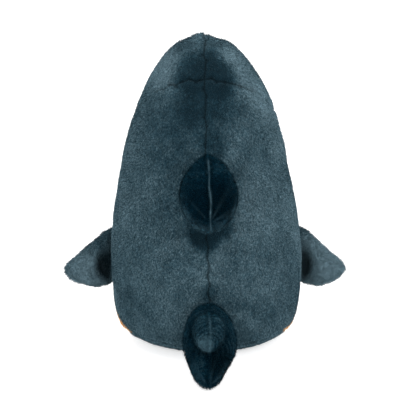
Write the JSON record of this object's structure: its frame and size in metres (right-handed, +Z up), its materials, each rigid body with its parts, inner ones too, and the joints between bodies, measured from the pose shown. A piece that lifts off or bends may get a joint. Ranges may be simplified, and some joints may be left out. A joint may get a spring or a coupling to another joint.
{
  "type": "plush shark",
  "caption": "Plush shark that sits upright on its tail end: an egg-shaped sewn body with a pointed snout, side fins, a back fin and a two-lobed tail.",
  "frame": {"origin": "middle of the flat base that it sits on", "axes": "+Z up from the base to the snout; belly and face look along -Y; back fin and tail point along +Y; the shark's own left side fin points along +X"},
  "size_m": [0.2796, 0.2328, 0.3],
  "materials": {
    "slate_plush": "short-pile slate blue-grey plush with a soft sheen and brushed nap marks",
    "navy_plush": "short-pile dark teal-navy plush with a bluish sheen",
    "tan_plush": "short-pile caramel tan plush",
    "fibre_fill": "loose white polyester fibre",
    "dark_thread": "black satin-stitch embroidery thread",
    "white_thread": "white satin-stitch embroidery thread",
    "label_ribbon": "blank white satin ribbon"
  },
  "bodies": {
    "body": {"base_panel": "slate_plush", "belly_panel": "tan_plush", "back_panel_left": "slate_plush", "back_panel_right": "slate_plush", "snout_panel_left": "slate_plush", "snout_panel_right": "slate_plush", "body_stuffing": "fibre_fill", "eye_left": "dark_thread", "eye_right": "dark_thread", "eye_highlights": "white_thread", "mouth_stitching": "dark_thread", "gill_stitches_left": "dark_thread", "gill_stitches_right": "dark_thread", "care_label": "label_ribbon"},
    "dorsal_fin": {"dorsal_fin_cover_left": "navy_plush", "dorsal_fin_cover_right": "navy_plush", "dorsal_fin_stuffing": "fibre_fill"},
    "tail": {"tail_cover_left": "navy_plush", "tail_cover_right": "navy_plush", "tail_stuffing": "fibre_fill"},
    "pectoral_fin_left": {"pectoral_fin_left_cover_front": "slate_plush", "pectoral_fin_left_cover_back": "slate_plush", "pectoral_fin_left_stuffing": "fibre_fill"},
    "pectoral_fin_right": {"pectoral_fin_right_cover_front": "slate_plush", "pectoral_fin_right_cover_back": "slate_plush", "pectoral_fin_right_stuffing": "fibre_fill"}
  },
  "joints": [
    {"name": "dorsal_fin_lean", "type": "hinge", "parent": "body", "child": "dorsal_fin", "pos_m": [0, 0.06837, 0.1685], "axis": [0, -0.2283, 0.9736], "range_deg": [-18, 18], "stiffness_Nm_per_rad": 0.02},
    {"name": "tail_swing", "type": "hinge", "parent": "body", "child": "tail", "pos_m": [0, 0.08128, 0.039], "axis": [0, 0, 1], "range_deg": [-20, 20], "stiffness_Nm_per_rad": 0.03},
    {"name": "pectoral_left_flap", "type": "hinge", "parent": "body", "child": "pectoral_fin_left", "pos_m": [0.09171, -0.0237, 0.07947], "axis": [0.1444, 0.3968, -0.9065], "range_deg": [-10, 28], "stiffness_Nm_per_rad": 0.01},
    {"name": "pectoral_right_flap", "type": "hinge", "parent": "body", "child": "pectoral_fin_right", "pos_m": [-0.09171, -0.0237, 0.07947], "axis": [0.1444, -0.3968, 0.9065], "range_deg": [-10, 28], "stiffness_Nm_per_rad": 0.01}
  ]
}
